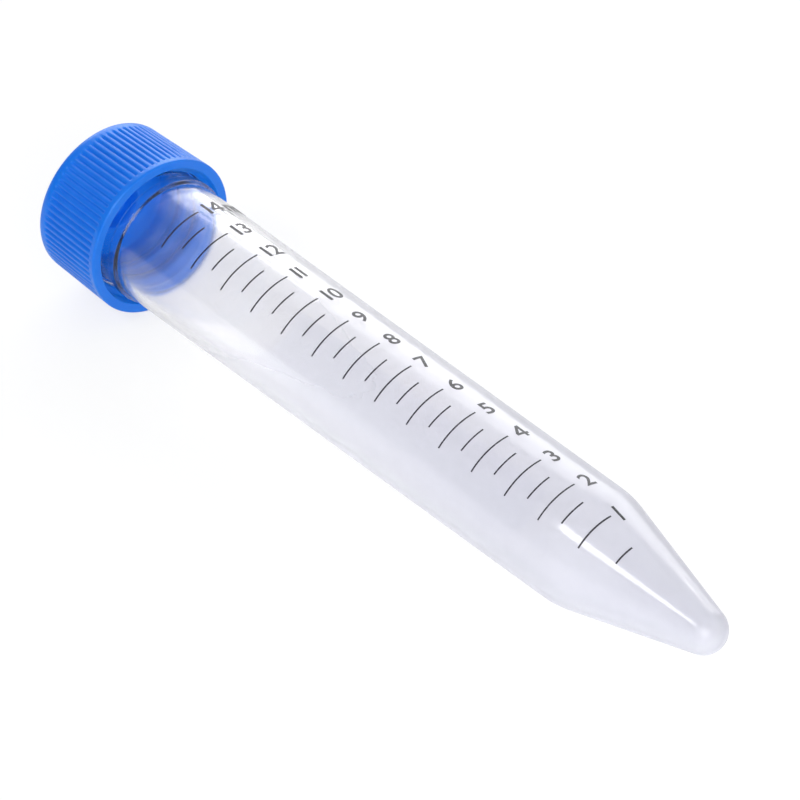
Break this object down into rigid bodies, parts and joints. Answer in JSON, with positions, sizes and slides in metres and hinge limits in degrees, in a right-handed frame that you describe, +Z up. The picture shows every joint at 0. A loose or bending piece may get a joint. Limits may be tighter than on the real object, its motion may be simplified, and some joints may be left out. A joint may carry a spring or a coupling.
{
  "type": "15 ml conical tube",
  "caption": "Clear plastic screw-cap centrifuge tube with a conical bottom and a ribbed blue cap, for spinning and storing small liquid samples.",
  "frame": {"origin": "on the table, under the middle of the lying tube", "axes": "+Z up from the table; +X along the tube towards its conical tip, level; the tube's own axis leans 1.92 degrees, rising towards the cap"},
  "size_m": [0.1204, 0.022, 0.022],
  "materials": {
    "tube_plastic": "translucent natural polypropylene, smooth moulded, with black printed scale",
    "cap_plastic": "blue moulded polyethylene, semi-gloss, finely ribbed side"
  },
  "bodies": {
    "tube": {"tube": "tube_plastic"},
    "cap": {"cap": "cap_plastic"}
  },
  "joints": [
    {"name": "cap_lift", "type": "slide", "parent": "tube", "child": "cap", "axis": [-0.9994, 0, 0.0335], "range_m": [0, 0.03]}
  ]
}
